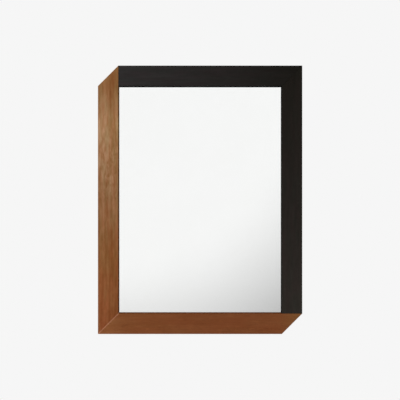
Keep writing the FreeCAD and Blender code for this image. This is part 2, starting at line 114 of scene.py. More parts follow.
class Wiring:
    """Adds nodes to one tree and joins them, taking a socket or a plain value for any input."""

    def __init__(self, tree: Tree) -> None:
        """Starts wiring a tree."""
        self.tree = tree

    def feed(self, socket: Socket, value: Source) -> None:
        """Links a socket to an input, or sets the input's own value.

        Args:
            socket: The input to feed.
            value: The socket that feeds it, or a plain value.
        """
        if isinstance(value, Socket):
            self.tree.links.new(value, socket)
        else:
            socket.default_value = value

    def add(self, kind: str, inputs: dict | None = None, **settings: object) -> bpy.types.Node:
        """Adds a node.

        Args:
            kind: The node's type.
            inputs: Sockets or values for its inputs, by name or number.
            **settings: The node's own properties.

        Returns:
            The new node.
        """
        row, column = divmod(len(self.tree.nodes), NODES_PER_ROW)
        node = self.tree.nodes.new(kind)
        node.location = (column * NODE_STEP[0], row * NODE_STEP[1])
        for name, value in settings.items():
            setattr(node, name, value)
        for name, value in (inputs or {}).items():
            self.feed(node.inputs[name], value)
        return node

    def feed_named(self, sockets: Sockets, inputs: dict[str, Source]) -> None:
        """Feeds inputs by their names, with underscores for spaces."""
        for name, value in inputs.items():
            self.feed(sockets[name.replace("_", " ")], value)

    def math(self, operation: str, *terms: Source) -> Socket:
        """Returns the result of a Math node on one to three terms."""
        return self.add("ShaderNodeMath", dict(enumerate(terms)), operation=operation).outputs[0]

    def vector(self, operation: str, *terms: Source) -> Socket:
        """Returns the vector result of a Vector Math node."""
        node = self.add("ShaderNodeVectorMath", dict(enumerate(terms)), operation=operation)
        return node.outputs["Vector"]

    def measure(self, operation: str, *terms: Source) -> Socket:
        """Returns the number that a Vector Math node gives, such as a length or a dot product."""
        node = self.add("ShaderNodeVectorMath", dict(enumerate(terms)), operation=operation)
        return node.outputs["Value"]

    def part(self, vector: Source, axis: str) -> Socket:
        """Returns one coordinate of a vector."""
        return self.add("ShaderNodeSeparateXYZ", {0: vector}).outputs[axis]

    def join(self, x: Source, y: Source, z: Source) -> Socket:
        """Returns a vector made of three numbers."""
        return self.add("ShaderNodeCombineXYZ", {0: x, 1: y, 2: z}).outputs[0]

    def span(self, value: Source, low: Source, high: Source, to_low: Source = 0.0, to_high: Source = 1.0,
             path: str = "SMOOTHSTEP") -> Socket:
        """Takes a value from one range to another and holds it at the ends.

        Args:
            value: The value to map.
            low: Where the range starts.
            high: Where the range ends.
            to_low: The result at the start.
            to_high: The result at the end.
            path: SMOOTHSTEP to ease in and out, LINEAR to go straight.

        Returns:
            The mapped value.
        """
        ends = {"Value": value, "From Min": low, "From Max": high, "To Min": to_low, "To Max": to_high}
        return self.add("ShaderNodeMapRange", ends, interpolation_type=path).outputs[0]

    def fade(self, value: Source, low: Source, high: Source) -> Socket:
        """Returns 1 up to the start of a range and 0 from its end on, eased between."""
        return self.span(value, low, high, 1.0, 0.0)

    def noise(self, place: Source, size: Triple, detail: float, output: str = "Fac") -> Socket:
        """Returns noise whose patches have the given sizes along X, Y and Z.

        Args:
            place: The point that it is read at.
            size: How large a patch is along each axis, in metres.
            detail: How many finer layers are added.
            output: Fac for one number, Color for three.

        Returns:
            The noise, about 0.5 on average.
        """
        drawn = self.vector("DIVIDE", place, size)
        node = self.add("ShaderNodeTexNoise", {"Vector": drawn, "Scale": 1.0, "Detail": detail})
        return node.outputs[output]

    def colours(self, mode: str, share: Source, under: Source, over: Source) -> Socket:
        """Lays one colour over another.

        Args:
            mode: The Mix node's blend type.
            share: How far the second colour shows.
            under: The first colour.
            over: The second colour.

        Returns:
            The blended colour.
        """
        inputs = {0: share, 6: under, 7: over}
        return self.add("ShaderNodeMix", inputs, data_type="RGBA", blend_type=mode).outputs[2]

    def tones(self, share: Source, stops: dict[float, Colour]) -> Socket:
        """Returns a colour ramp's colour.

        Args:
            share: Where on the ramp to read, from 0 to 1.
            stops: The colour at each place, in order.

        Returns:
            The colour there.
        """
        node = self.add("ShaderNodeValToRGB", {0: share})
        ramp = node.color_ramp
        ramp.interpolation = "LINEAR"
        while len(ramp.elements) < len(stops):
            ramp.elements.new(1.0)
        for element, (place, colour) in zip(ramp.elements, stops.items()):
            element.position = place
            element.color = colour
        return node.outputs["Color"]

    def effect(self, tree: Tree, **inputs: Source) -> Sockets:
        """Places a shader group.

        Args:
            tree: The group.
            **inputs: Its inputs, with underscores for spaces.

        Returns:
            The group's outputs.
        """
        node = self.add("ShaderNodeGroup", node_tree=tree)
        self.feed_named(node.inputs, inputs)
        return node.outputs

    def relief(self, height: Source, depth: float) -> Socket:
        """Returns a normal bent by a height, where 1 is as many metres as the depth says."""
        return self.add("ShaderNodeBump", {"Height": height, "Distance": depth}).outputs["Normal"]


def open_tree(name: str, tree_type: str, inputs: dict[str, Kind],
              outputs: dict[str, Kind]) -> tuple[Wiring, Sockets, Sockets]:
    """Starts a node group with named sockets.

    Args:
        name: The group's name.
        tree_type: ShaderNodeTree or GeometryNodeTree.
        inputs: What each named input carries.
        outputs: What each named output carries.

    Returns:
        The wiring, the sockets that come in and the sockets that go out.
    """
    tree = bpy.data.node_groups.new(name, tree_type)
    for label, kind in inputs.items():
        tree.interface.new_socket(name=label, in_out="INPUT", socket_type=kind.value)
    for label, kind in outputs.items():
        tree.interface.new_socket(name=label, in_out="OUTPUT", socket_type=kind.value)
    wires = Wiring(tree)
    return wires, wires.add("NodeGroupInput").outputs, wires.add("NodeGroupOutput").inputs


@cache
def wood_grain() -> Tree:
    """Builds the grain of a board whose fibres run along Z, with its sizes in metres.

    Returns:
        The group: shade and tint of the streaks, curly figure, sparse flecks, pores, and their height.
    """
    ring_width = 0.0085
    late_wood_edge = 2.2
    late_wood_weight = -0.06
    other_log = (3.1, 1.7, 0.6)
    ridge_share, pore_share, base_height = 0.5, -0.4, 0.4
    inputs = {"Vector": Kind.VECTOR, "Coarseness": Kind.VALUE, "Pith": Kind.VECTOR}
    outputs = dict.fromkeys(("Shade", "Tint", "Curl", "Flecks", "Pores", "Height"), Kind.VALUE)
    wires, given, made = open_tree("wood_grain", "ShaderNodeTree", inputs, outputs)

    def streaks(around: Source, width: float, length: float, detail: float = 1.0) -> Socket:
        """Returns noise drawn out along the fibres."""
        return wires.noise(around, (width, width, length), detail)

    def wander(around: Source, width: float, length: float, reach: Triple) -> Socket:
        """Returns an offset that sways about zero, as far as its reach."""
        sway = wires.noise(around, (width, width, length), 1.0, "Color")
        return wires.vector("MULTIPLY", wires.vector("SUBTRACT", sway, (0.5, 0.5, 0.5)), reach)

    place = wires.vector("DIVIDE", given["Vector"], wires.join(*[given["Coarseness"]] * 3))
    drift = wander(place, width=0.16, length=0.34, reach=(0.035, 0.035, 0.0))
    from_pith = wires.vector("SUBTRACT", wires.vector("ADD", place, drift), given["Pith"])
    radius = wires.measure("LENGTH", wires.vector("MULTIPLY", from_pith, (1.0, 1.0, 0.0)))
    in_ring = wires.math("FRACT", wires.math("DIVIDE", radius, ring_width))
    late_wood = wires.math("POWER", in_ring, late_wood_edge)

    drifted = wires.vector("ADD", place, wires.vector("MULTIPLY", drift, (0.3, 0.3, 0.0)))
    moved = wires.vector("ADD", drifted, other_log)
    shade = wires.math("MULTIPLY", late_wood, late_wood_weight)
    for around, width, length, detail, weight in (
            (drifted, 0.012, 0.13, 1.0, 0.36),
            (drifted, 0.0046, 0.045, 1.5, 0.24),
            (moved, 0.008, 0.022, 2.0, 0.22),
            (drifted, 0.0019, 0.04, 2.0, 0.18)):
        shade = wires.math("MULTIPLY_ADD", streaks(around, width, length, detail), weight, shade)
    wires.feed(made["Shade"], wires.span(shade, low=0.28, high=0.68))
    tint = streaks(moved, width=0.011, length=0.06, detail=1.5)
    wires.feed(made["Tint"], wires.span(tint, low=0.3, high=0.7))

    swirl = wander(moved, width=0.009, length=0.02, reach=(0.012, 0.012, 0.03))
    curl = streaks(wires.vector("ADD", moved, swirl), width=0.006, length=0.024)
    wires.feed(made["Curl"], wires.span(curl, low=0.3, high=0.7))
    ticks = streaks(moved, width=0.0026, length=0.013)
    wires.feed(made["Flecks"], wires.span(ticks, low=0.62, high=0.74))
    vessels = streaks(given["Vector"], width=0.00045, length=0.013)
    pores = wires.span(vessels, low=0.6, high=0.72)
    wires.feed(made["Pores"], pores)
    fibres = streaks(given["Vector"], width=0.0019, length=0.05, detail=2.0)
    ridges = wires.math("MULTIPLY_ADD", fibres, ridge_share, base_height)
    wires.feed(made["Height"], wires.math("MULTIPLY_ADD", pores, pore_share, ridges))
    return wires.tree


@cache
def joint_line() -> Tree:
    """Builds the line where two boards meet in a plane.

    Returns:
        The group, with a mask that is 1 in the plane and fades over the width given.
    """
    inputs = {"Vector": Kind.VECTOR, "Facing": Kind.VECTOR, "Offset": Kind.VALUE, "Width": Kind.VALUE}
    wires, given, made = open_tree("joint_line", "ShaderNodeTree", inputs, {"Mask": Kind.VALUE})
    along = wires.measure("DOT_PRODUCT", given["Vector"], given["Facing"])
    away = wires.math("ABSOLUTE", wires.math("SUBTRACT", along, given["Offset"]))
    wires.feed(made["Mask"], wires.fade(away, 0.0, given["Width"]))
    return wires.tree


@cache
def mottle() -> Tree:
    """Builds a cloudy variation with a finer one in it.

    Returns:
        The group, with a value about 0.5 on average.
    """
    speck_size = 0.11
    speck_share = 0.4
    inputs = {"Vector": Kind.VECTOR, "Patch": Kind.VALUE}
    wires, given, made = open_tree("mottle", "ShaderNodeTree", inputs, {"Value": Kind.VALUE})
    place = wires.vector("DIVIDE", given["Vector"], wires.join(*[given["Patch"]] * 3))
    cloud = wires.noise(place, (1.0,) * 3, 2.0)
    speck = wires.noise(place, (speck_size,) * 3, 2.0)
    both = wires.math("MULTIPLY_ADD", speck, speck_share, wires.math("MULTIPLY", cloud, 1.0 - speck_share))
    wires.feed(made["Value"], wires.span(both, low=0.3, high=0.7))
    return wires.tree


@cache
def frame_edges() -> Tree:
    """Builds masks for the frame's outer front edges, its two cut ends and its sight edge.

    Returns:
        The group: a patchy rim along the front edges, the cut ends, and the opening's inner wall.
    """
    inputs = {"Vector": Kind.VECTOR, "Outer": Kind.VECTOR, "Inner": Kind.VECTOR, "Reach": Kind.VALUE}
    outputs = dict.fromkeys(("Rim", "Cut End", "Sight"), Kind.VALUE)
    wires, given, made = open_tree("frame_edges", "ShaderNodeTree", inputs, outputs)
    place = given["Vector"]
    half = wires.vector("ABSOLUTE", place)
    outside = wires.vector("SUBTRACT", given["Outer"], half)
    inside = wires.vector("SUBTRACT", half, given["Inner"])
    outer_gap = wires.math("MINIMUM", wires.part(outside, "X"), wires.part(outside, "Z"))
    inner_gap = wires.math("MAXIMUM", wires.part(inside, "X"), wires.part(inside, "Z"))
    front_gap = wires.math("ABSOLUTE", wires.part(outside, "Y"))
    slant = wires.math("ABSOLUTE", wires.measure("DOT_PRODUCT", place, (1.0, 0.0, -1.0)))
    both_sizes = wires.vector("ADD", given["Outer"], given["Inner"])
    cut_at = wires.measure("DOT_PRODUCT", both_sizes, (0.5, 0.0, 0.5))
    cut_gap = wires.math("SUBTRACT", cut_at, slant)

    edge_gap = wires.math("ADD", wires.math("MINIMUM", outer_gap, cut_gap), front_gap)
    near = wires.fade(edge_gap, 0.0, given["Reach"])
    patchy = wires.span(wires.noise(place, (0.02,) * 3, 3.0), low=0.35, high=0.7)
    wires.feed(made["Rim"], wires.math("MULTIPLY", near, patchy))
    wires.feed(made["Cut End"], wires.fade(cut_gap, low=0.0001, high=0.0006))
    # Sight masks the opening's inner wall, where the finishes lay painted shade and raise the roughness.
    on_wall = wires.fade(inner_gap, low=0.0001, high=0.0005)
    behind_front = wires.span(front_gap, low=0.0003, high=0.0012)
    wires.feed(made["Sight"], wires.math("MULTIPLY", on_wall, behind_front))
    return wires.tree


class Paint(Wiring):
    """The wiring of a new material, with its one Principled shader and the Object coordinates."""

    def __init__(self, name: str) -> None:
        """Starts a material.

        Args:
            name: The material's name.
        """
        self.material = bpy.data.materials.new(name)
        self.material.use_nodes = True
        self.material.node_tree.nodes.clear()
        super().__init__(self.material.node_tree)
        self.shader = self.add("ShaderNodeBsdfPrincipled")
        self.add("ShaderNodeOutputMaterial", {"Surface": self.shader.outputs[0]})
        self.place = self.add("ShaderNodeTexCoord").outputs["Object"]

    def mottled(self, patch: float) -> Socket:
        """Returns a cloudy variation whose patches are so many metres wide."""
        return self.effect(mottle(), Vector=self.place, Patch=patch)["Value"]

    def surface(self, **inputs: Source) -> Material:
        """Links or sets the shader's inputs.

        Args:
            **inputs: Sockets or plain values, with underscores for spaces.

        Returns:
            The finished material.
        """
        self.feed_named(self.shader.inputs, inputs)
        return self.material


def merged(mesh: bpy.types.Mesh) -> bmesh.types.BMesh:
    """Joins a CAD mesh's loose triangles at their corners.

    Args:
        mesh: The mesh, which is left as it is.

    Returns:
        The joined copy.
    """
    shape = bmesh.new()
    shape.from_mesh(mesh)
    bmesh.ops.remove_doubles(shape, verts=shape.verts, dist=MERGE_DISTANCE)
    return shape


def solids_of(node: str) -> list[tuple[Vector, Vector]]:
    """Finds the separate solids of a CAD node.

    Args:
        node: The node's name.

    Returns:
        Each solid's lowest and highest corner, from left to right and from the bottom up.
    """
    shape = merged(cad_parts[node].data)
    waiting = set(shape.verts)
    boxes = []
    while waiting:
        reached = [waiting.pop()]
        for vertex in reached:
            beside = {edge.other_vert(vertex) for edge in vertex.link_edges} & waiting
            waiting -= beside
            reached.extend(beside)
        low, high = (Vector([pick(vertex.co[axis] for vertex in reached) for axis in range(3)])
                     for pick in (min, max))
        boxes.append((low, high))
    shape.free()
    return sorted(boxes, key=lambda box: [round(box[0][axis], 4) for axis in (0, 2)])


def dress_node(node: str, material: Material) -> None:
    """Gives a CAD node its finish.

    Args:
        node: The node's name.
        material: Its material.
    """
    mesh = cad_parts[node].data
    mesh.materials.clear()
    mesh.materials.append(material)
    log.info("%s wears %s", node, material.name)


def add_object(name: str, data: bpy.types.ID) -> SceneObject:
    """Adds an object to the scene, at the origin.

    Args:
        name: The object's name.
        data: Its mesh, camera or light.

    Returns:
        The object.
    """
    placed = bpy.data.objects.new(name, data)
    bpy.context.scene.collection.objects.link(placed)
    return placed


@dataclass(frozen=True)
class FrameSize:
    """Half sizes of the frame outside, with the depth of its front as Y, and of its opening."""

    outer: Triple = (CAD_BOX[1].x, -CAD_BOX[0].y, CAD_BOX[1].z)
    sight: Triple = (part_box("right_stile")[0].x, 0.0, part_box("top_rail")[0].z)


@dataclass(frozen=True)
class Joint:
    """The line painted where two boards meet: dark for a joint line, pale for a painted highlight along a
    mitre's eased edges.
    """

    facing: Triple
    offset: float
    colour: Colour
    width: float
    strength: float


@dataclass(frozen=True)
class Board:
    """One board of the frame: its node, which way its grain runs, and its tones along and across it, which on
    some boards carry painted light and sheen as well as the wood's own tone.
    """

    node: str
    grain: Grain
    tones: dict[float, Colour]
    log_place: Triple
    figure: float = 1.0
    coarseness: float = 1.0
    curly: Pair | None = None
    # How strongly the finish's painted shade lies on this board's inner wall, from 0 to 1.
    sight_shade: float = 1.0
    cast: tuple[Colour, Colour] | None = None
    joints: tuple[Joint, ...] = ()
    size: FrameSize = FrameSize()

    def along(self, paint: Paint) -> Socket:
        """Works out how far along the frame's side a point lies.

        Args:
            paint: The material that it is for.

        Returns:
            The share, from 0 at the left or the bottom to 1.
        """
        axis = 2 if self.grain is Grain.UPRIGHT else 0
        spot = paint.part(paint.place, "XYZ"[axis])
        return paint.math("MULTIPLY_ADD", spot, 0.5 / self.size.outer[axis], 0.5)

    def tone(self, paint: Paint) -> Socket:
        """Mixes the colour along and across the board, before its figure: the wood's own tone, with painted
        light and sheen where the board's ramp carries them.

        Args:
            paint: The material that it is for.

        Returns:
            The colour.
        """
        colour = paint.tones(self.along(paint), self.tones)
        if not self.cast:
            return colour
        axis = 0 if self.grain is Grain.UPRIGHT else 2
        off_middle = paint.math("ABSOLUTE", paint.part(paint.place, "XYZ"[axis]))
        across = paint.span(off_middle, self.size.sight[axis], self.size.outer[axis], path="LINEAR")
        return paint.colours("MULTIPLY", 1.0, colour, paint.colours("MIX", across, *self.cast))

    def curliness(self, paint: Paint) -> Socket:
        """Masks the stretch of the board whose figure is curly.

        Args:
            paint: The material that it is for.

        Returns:
            A mask that is 1 in the middle of the stretch and fades to its ends.
        """
        middle = sum(self.curly) / 2
        off_middle = paint.math("ABSOLUTE", paint.math("SUBTRACT", self.along(paint), middle))
        return paint.fade(off_middle, 0.0, self.curly[1] - middle)

    def lined(self, paint: Paint, colour: Socket) -> Socket:
        """Draws the lines of the board's joints, where the pale ones are painted highlight.

        Args:
            paint: The material that they are for.
            colour: The wood's colour.

        Returns:
            The colour with the lines over it.
        """
        for joint in self.joints:
            line = paint.effect(joint_line(), Vector=paint.place, Facing=joint.facing, Offset=joint.offset,
                                Width=joint.width)
            shown = paint.math("MULTIPLY", line["Mask"], joint.strength)
            colour = paint.colours("MIX", shown, colour, joint.colour)
        return colour


@dataclass(frozen=True)
class WoodFinish:
    """A finish on hardwood: how strong its figure is, how it is rubbed, how it shines, and the painted shade
    it lays on the opening's inner wall.
    """

    shade: tuple[Colour, Colour]
    tint: tuple[Colour, Colour]
    fleck: Colour
    flecked: float
    pore: Colour
    end_grain: Colour
    roughness: Pair
    specular: float
    relief: float
    curl: tuple[Colour, Colour] = (UNCHANGED, UNCHANGED)
    rim: Colour = UNCHANGED
    rubbed: float = 0.0
    rim_reach: float = 0.0022
    # The colour that multiplies the opening's inner wall: painted shade.
    sight: Colour = UNCHANGED
    pith: Triple = (0.045, 0.06, 0.0)

    def material(self, name: str, board: Board) -> Material:
        """Makes the finish for one board.

        Args:
            name: The material's name.
            board: The board that it is for.

        Returns:
            The material.
        """
        paint = Paint(name)
        turned = {"Vector": paint.place, "Rotation": board.grain.value, "Location": board.log_place}
        in_log = paint.add("ShaderNodeMapping", turned).outputs[0]
        grain = paint.effect(wood_grain(), Vector=in_log, Coarseness=board.coarseness, Pith=self.pith)
        edges = paint.effect(frame_edges(), Vector=paint.place, Outer=board.size.outer,
                             Inner=board.size.sight, Reach=self.rim_reach)

        colour = board.tone(paint)
        for figure, ends in ((grain["Shade"], self.shade), (grain["Tint"], self.tint)):
            colour = paint.colours("MULTIPLY", board.figure, colour, paint.colours("MIX", figure, *ends))
        if board.curly:
            curls = paint.colours("MIX", grain["Curl"], *self.curl)
            colour = paint.colours("MULTIPLY", board.curliness(paint), colour, curls)
        flecks = paint.math("MULTIPLY", grain["Flecks"], self.flecked)
        colour = paint.colours("MULTIPLY", flecks, colour, self.fleck)
        colour = paint.colours("MULTIPLY", grain["Pores"], colour, self.pore)
        colour = paint.colours("MULTIPLY", edges["Cut End"], colour, self.end_grain)
        colour = paint.colours("MIX", paint.math("MULTIPLY", edges["Rim"], self.rubbed), colour, self.rim)
        # Painted shade on the opening's inner wall, as strong as the board asks.
        painted_wall_shade = paint.math("MULTIPLY", edges["Sight"], board.sight_shade)
        colour = paint.colours("MULTIPLY", painted_wall_shade, colour, self.sight)
        satin = paint.span(grain["Shade"], 0.0, 1.0, *self.roughness)
        return paint.surface(
            Base_Color=board.lined(paint, colour),
            Roughness=paint.math("MAXIMUM", satin, edges["Sight"]),
            Normal=paint.relief(grain["Height"], self.relief),
            Specular_IOR_Level=self.specular)


@dataclass(frozen=True)
class SteelFinish:
    """Plated steel with fine rolling marks and cloudy dulling."""

    bright: Colour
    dull: Colour
    roughness: Pair
    patch: float
    marks: Triple
    marks_depth: float

    def material(self, name: str) -> Material:
        """Makes the finish.

        Args:
            name: The material's name.

        Returns:
            The material.
        """
        paint = Paint(name)
        cloud = paint.mottled(self.patch)
        lines = paint.noise(paint.place, self.marks, 2.0)
        worn = paint.math("MULTIPLY_ADD", lines, 0.5, paint.math("MULTIPLY", cloud, 0.5))
        return paint.surface(
            Base_Color=paint.colours("MIX", cloud, self.bright, self.dull),
            Roughness=paint.span(worn, 0.25, 0.75, *self.roughness),
            Normal=paint.relief(lines, self.marks_depth),
            Metallic=1.0)


@dataclass(frozen=True)
class RubberFinish:
    """Moulded rubber with a bloom on it and a fine pebble."""

    fresh: Colour
    bloomed: Colour
    pebble: float
    pebble_depth: float = 0.00012
    bloom_patch: float = 0.009
    roughness: Pair = (0.55, 0.8)
    specular: float = 0.3

    def material(self, name: str) -> Material:
        """Makes the finish.

        Args:
            name: The material's name.

        Returns:
            The material.
        """
        paint = Paint(name)
        bloom = paint.mottled(self.bloom_patch)
        grit = paint.noise(paint.place, (self.pebble,) * 3, 1.0)
        return paint.surface(
            Base_Color=paint.colours("MIX", bloom, self.fresh, self.bloomed),
            Roughness=paint.span(bloom, 0.0, 1.0, *self.roughness),
            Normal=paint.relief(grit, self.pebble_depth),
            Specular_IOR_Level=self.specular)


@dataclass(frozen=True)
class FibreFinish:
    """Pressed hardboard or card, with the imprint of the pressing screen and painted shade in its hollows."""

    pale: Colour
    dark: Colour
    fibre: float
    screen_pitch: float
    screen_depth: float
    fibre_lie: float = 0.35
    cloud_patch: float = 0.16
    cloud_share: float = 0.09
    # How far the painted shade darkens the imprint's hollows.
    hollow_share: float = 0.55
    screen_share: float = 0.85
    roughness: Pair = (0.62, 0.85)
    specular: float = 0.25

    def material(self, name: str) -> Material:
        """Makes the finish.

        Args:
            name: The material's name.

        Returns:
            The material.
        """
        paint = Paint(name)
        fibres = paint.noise(paint.place, (self.fibre, self.fibre, self.fibre * self.fibre_lie), 3.0)
        clouds = paint.math("MULTIPLY", paint.mottled(self.cloud_patch), self.cloud_share)
        mixed = paint.math("MULTIPLY_ADD", fibres, 1.0 - self.cloud_share, clouds)
        turn = 2 * math.pi / self.screen_pitch
        across, up = (
            paint.math("SINE", paint.math("MULTIPLY", paint.part(paint.place, axis), turn)) for axis in "XZ")
        screen = paint.math("MULTIPLY_ADD", paint.math("MULTIPLY", across, up), 0.5, 0.5)
        # Painted shade: the low parts of the screen imprint are mixed toward the dark colour.
        hollow_shade = paint.span(screen, 0.0, 0.5, self.hollow_share, 0.0)
        colour = paint.colours("MIX", paint.span(mixed, 0.3, 0.7), self.pale, self.dark)
        imprint = paint.math("MULTIPLY", screen, self.screen_share)
        height = paint.math("MULTIPLY_ADD", fibres, 1.0 - self.screen_share, imprint)
        return paint.surface(
            Base_Color=paint.colours("MIX", hollow_shade, colour, self.dark),
            Roughness=paint.span(mixed, 0.2, 0.8, *self.roughness),
            Normal=paint.relief(height, self.screen_depth),
            Specular_IOR_Level=self.specular)


@dataclass(frozen=True)
class GlassFinish:
    """Clear float glass with the faintest haze."""

    body: Colour
    haze: Colour
    index: float
    haze_patch: float = 0.11
    roughness: Pair = (0.0, 0.006)

    def material(self, name: str) -> Material:
        """Makes the finish.

        Args:
            name: The material's name.

        Returns:
            The material.
        """
        paint = Paint(name)
        cloud = paint.mottled(self.haze_patch)
        return paint.surface(
            Base_Color=paint.colours("MIX", cloud, self.body, self.haze),
            Roughness=paint.span(cloud, 0.0, 1.0, *self.roughness),
            IOR=self.index,
            Transmission_Weight=1.0)


@dataclass(frozen=True)
class SilverFinish:
    """The mirror's silver coat, a little warmer where it thins."""

    full: Colour
    thin: Colour
    thin_patch: float = 0.16
    roughness: Pair = (0.0, 0.008)

    def material(self, name: str) -> Material:
        """Makes the finish.

        Args:
            name: The material's name.

        Returns:
            The material.
        """
        paint = Paint(name)
        cloud = paint.mottled(self.thin_patch)
        return paint.surface(
            Base_Color=paint.colours("MIX", cloud, self.full, self.thin),
            Roughness=paint.span(cloud, 0.0, 1.0, *self.roughness),
            Metallic=1.0)


BROWN = WoodFinish(
    shade=((0.76, 0.62, 0.4, 1.0), (1.24, 1.38, 1.6, 1.0)),
    tint=((1.05, 0.955, 0.93, 1.0), (0.96, 1.04, 0.99, 1.0)),
    fleck=(1.16, 1.2, 1.24, 1.0), flecked=0.7,
    pore=(0.8, 0.74, 0.68, 1.0), end_grain=(0.74, 0.7, 0.64, 1.0),
    roughness=(0.5, 0.4), specular=0.12, relief=0.0002,
    curl=((0.81, 0.73, 0.6, 1.0), (1.11, 1.16, 1.25, 1.0)),
    # sight is the painted shade on the opening's inner wall.
    rim=srgb(168, 122, 84), rubbed=0.3, sight=(0.2, 0.15, 0.1, 1.0),
)
BLACK = WoodFinish(
    shade=((0.84, 0.84, 0.82, 1.0), (1.16, 1.16, 1.18, 1.0)),
    tint=((1.05, 0.97, 0.98, 1.0), (0.96, 1.02, 0.98, 1.0)),
    fleck=(1.1, 1.1, 1.1, 1.0), flecked=0.4,
    pore=(0.75, 0.75, 0.75, 1.0), end_grain=(0.8, 0.8, 0.8, 1.0),
    roughness=(0.52, 0.42), specular=0.08, relief=0.0001,
    # sight is the painted shade on the opening's inner wall.
    rim=srgb(58, 53, 49), rubbed=0.25, sight=(0.12, 0.12, 0.12, 1.0),
)
BEECH = WoodFinish(
    shade=((0.88, 0.85, 0.82, 1.0), (1.1, 1.1, 1.12, 1.0)),
    tint=((1.03, 0.98, 0.96, 1.0), (0.99, 1.01, 1.0, 1.0)),
    fleck=(0.7, 0.6, 0.5, 1.0), flecked=0.8,
    pore=(0.85, 0.8, 0.75, 1.0), end_grain=(0.9, 0.88, 0.85, 1.0),
    roughness=(0.65, 0.6), specular=0.3, relief=0.00015,
)


@dataclass
class TwoToneFrame:
    """The four boards of the frame, brown on the left and below, black above and on the right."""

    outer: Triple = FrameSize.outer
    slope: float = math.sqrt(0.5)
    beech_pieces: tuple[str, ...] = (
        "bottom_left_biscuit", "top_right_biscuit", "top_left_dowels", "bottom_right_dowels")

    def mitre(self, side: float, colour: Colour, width: float, strength: float) -> Joint:
        """Describes the line of a mitre.

        Args:
            side: 1 for the lower left mitre, -1 for the upper right one.
            colour: The colour of the line.
            width: How far it fades, in metres.
            strength: How far it covers the wood.

        Returns:
            The joint's line.
        """
        offset = side * (self.outer[2] - self.outer[0]) * self.slope
        return Joint((self.slope, 0.0, -self.slope), offset, colour, width, strength)

    def boards(self) -> list[tuple[Board, WoodFinish]]:
        """Lists the boards with their finishes, each with a few tones from its left or lower end on.

        Returns:
            The boards, in the order in which they are dressed.
        """
        # The pale line on the lower left mitre is painted highlight on its eased edges; the dark one on the
        # upper right mitre is the joint line.
        mitre_painted_highlight = (self.mitre(1.0, srgb(182, 128, 100), 0.0018, 0.75),)
        dark_line = (self.mitre(-1.0, srgb(20, 18, 17), 0.0009, 0.6),)
        # The left stile's ramp is the board's own tone with painted light and sheen from the upper left,
        # lightest at about three quarters of its height.
        left_stile = Board(
            "left_stile", Grain.UPRIGHT, log_place=(0.0, 0.0, 0.0), figure=0.92, curly=(0.4, 0.86),
            tones={0.0: srgb(123, 68, 35), 0.28: srgb(127, 80, 44), 0.53: srgb(132, 94, 62),
                   0.78: srgb(149, 111, 76), 0.92: srgb(122, 82, 47)},
            cast=((0.9, 0.87, 0.79, 1.0), (1.07, 1.13, 1.27, 1.0)), joints=mitre_painted_highlight)
        bottom_rail = Board(
            "bottom_rail", Grain.LEVEL, log_place=(0.4, 0.1, 0.9), figure=0.42, coarseness=1.7,
            tones={0.05: srgb(127, 78, 44), 0.13: srgb(117, 67, 35), 0.5: srgb(111, 62, 32),
                   0.88: srgb(112, 63, 33), 1.0: srgb(113, 73, 37)},
            # The bottom rail's inner wall gets no painted shade.
            sight_shade=0.0, joints=mitre_painted_highlight)
        # The black boards' tone ramps are painted sheen: lighter at the left of the top rail and at the foot
        # of the right stile, darkest toward the upper right corner.
        top_rail = Board(
            "top_rail", Grain.LEVEL, log_place=(0.8, 0.3, 2.1),
            tones={0.0: srgb(41, 39, 39), 0.6: srgb(30, 27, 26), 1.0: srgb(16, 14, 10)}, joints=dark_line)
        right_stile = Board(
            "right_stile", Grain.UPRIGHT, log_place=(1.3, 0.2, 3.3),
            tones={0.0: srgb(42, 38, 34), 0.4: srgb(32, 28, 25), 1.0: srgb(20, 17, 13)}, joints=dark_line)
        return [(left_stile, BROWN), (bottom_rail, BROWN), (top_rail, BLACK), (right_stile, BLACK)]

    def dress(self) -> None:
        """Gives every board and every hidden beech piece its finish."""
        for board, finish in self.boards():
            dress_node(board.node, finish.material(board.node + "_wood", board))
        blank = Board("beech", Grain.UPRIGHT, log_place=(2.0, 0.0, 0.0), coarseness=0.5,
                      tones={0.0: srgb(206, 170, 128), 1.0: srgb(212, 178, 138)})
        beech = BEECH.material("beech_wood", blank)
        for node in self.beech_pieces:
            dress_node(node, beech)


@dataclass
class Glazing:
    """The mirror pane and what backs it in the rebate."""

    glass: GlassFinish = GlassFinish((0.985, 0.992, 0.988, 1.0), (0.978, 0.986, 0.982, 1.0), index=1.52)
    silver: SilverFinish = SilverFinish((0.97, 0.97, 0.968, 1.0), (0.96, 0.96, 0.955, 1.0))
    card: FibreFinish = FibreFinish(
        srgb(158, 154, 146), srgb(132, 128, 120), fibre=0.0012, screen_pitch=0.004, screen_depth=0.00004)
    hardboard: FibreFinish = FibreFinish(
        srgb(136, 98, 66), srgb(106, 73, 47), fibre=0.0008, screen_pitch=0.0019, screen_depth=0.00025)
    pads: RubberFinish = RubberFinish(srgb(52, 52, 54), srgb(70, 70, 70), pebble=0.0006)
    bond_depth: float = 0.00003

    def build(self) -> SceneObject:
        """Makes the silver coat, sunk a hair into the glass so that the two are one optical pane.

        Returns:
            The coat, riding on the frame.
        """
        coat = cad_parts["mirror_silvering"].data.copy()
        shape = merged(coat)
        front = min(vertex.co.y for vertex in shape.verts)
        for vertex in shape.verts:
            if vertex.co.y < front + MERGE_DISTANCE:
                vertex.co.y -= self.bond_depth
        shape.to_mesh(coat)
        shape.free()
        coat.materials.clear()
        coat.materials.append(self.silver.material("silver_coat"))
        piece = add_object("silver_coat", coat)
        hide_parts("mirror_silvering")
        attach(piece, ROOT_BODY)
        log.info("%s stands for mirror_silvering with %d faces", piece.name, len(coat.polygons))
        return piece

    def dress(self) -> None:
        """Gives the pane, its backing and its pads their finishes."""
        dress_node("mirror_glass", self.glass.material("float_glass"))
        dress_node("packing_card", self.card.material("grey_card"))
        dress_node("back_panel", self.hardboard.material("pressed_hardboard"))
        dress_node("glass_edge_pads", self.pads.material("edge_pad_rubber"))


